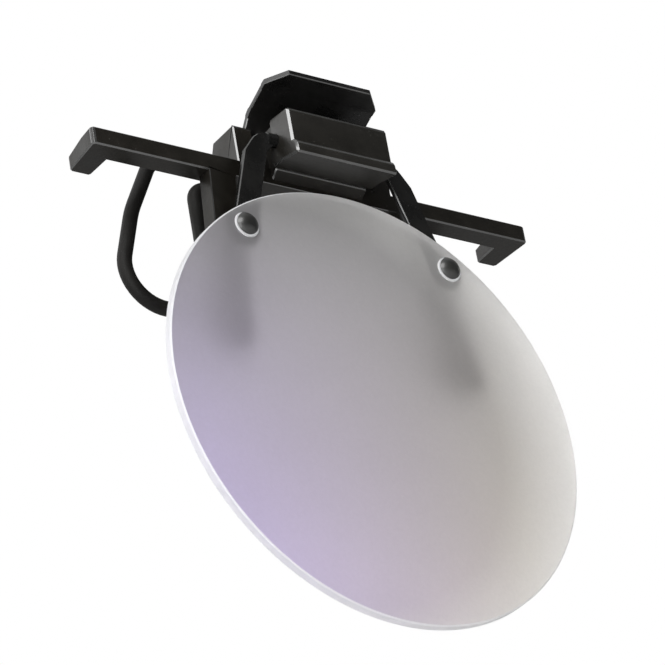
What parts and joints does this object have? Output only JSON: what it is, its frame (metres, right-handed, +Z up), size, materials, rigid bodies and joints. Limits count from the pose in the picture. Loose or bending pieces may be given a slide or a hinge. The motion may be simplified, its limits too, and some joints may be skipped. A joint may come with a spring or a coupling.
{
  "type": "flip_up_eye_blinder",
  "caption": "Flip-up eye blinder: a frosted round disc on two straps, hinged to a spring clip with a T-bar front jaw and rubber-sleeved rear fingers that grips a spectacle lens",
  "frame": {"origin": "middle of the gap between the front feet and the rear fingers, in the plane of symmetry", "axes": "X to the right seen from the front, Y backward toward the wearer, Z up as worn"},
  "size_m": [0.056, 0.0135, 0.0639],
  "materials": {
    "moulded": "satin",
    "block_plastic": "satin",
    "black_steel": "satin",
    "bright_steel": "satin",
    "soft_rubber": "satin",
    "frosted": "satin",
    "rivet_black": "polished"
  },
  "bodies": {
    "jaw": {"front_jaw": "moulded", "left_foot_pad": "soft_rubber", "right_foot_pad": "soft_rubber", "hinge_block": "block_plastic", "block_screws": "bright_steel", "detent_leaf": "bright_steel", "lever_pin": "bright_steel", "torsion_spring": "bright_steel"},
    "lever": {"thumb_lever": "black_steel", "wire_clamp": "black_steel", "clamp_rivets": "bright_steel", "left_finger": "bright_steel", "right_finger": "bright_steel", "left_sleeve": "soft_rubber", "right_sleeve": "soft_rubber"},
    "blind": {"hinge_rod": "black_steel", "left_strap": "black_steel", "right_strap": "black_steel", "disc": "frosted", "left_rivet": "rivet_black", "right_rivet": "rivet_black", "left_washer": "bright_steel", "right_washer": "bright_steel"}
  },
  "joints": [
    {"name": "grip", "type": "hinge", "parent": "jaw", "child": "lever", "pos_m": [0, -0.0016, 0.0223], "axis": [1, 0, 0], "range_deg": [0, 14], "stiffness_Nm_per_rad": 0.02, "springref_deg": -20.05},
    {"name": "flip", "type": "hinge", "parent": "jaw", "child": "blind", "pos_m": [0, -0.0065, 0.0223], "axis": [-1, 0, 0], "range_deg": [0, 100]}
  ]
}
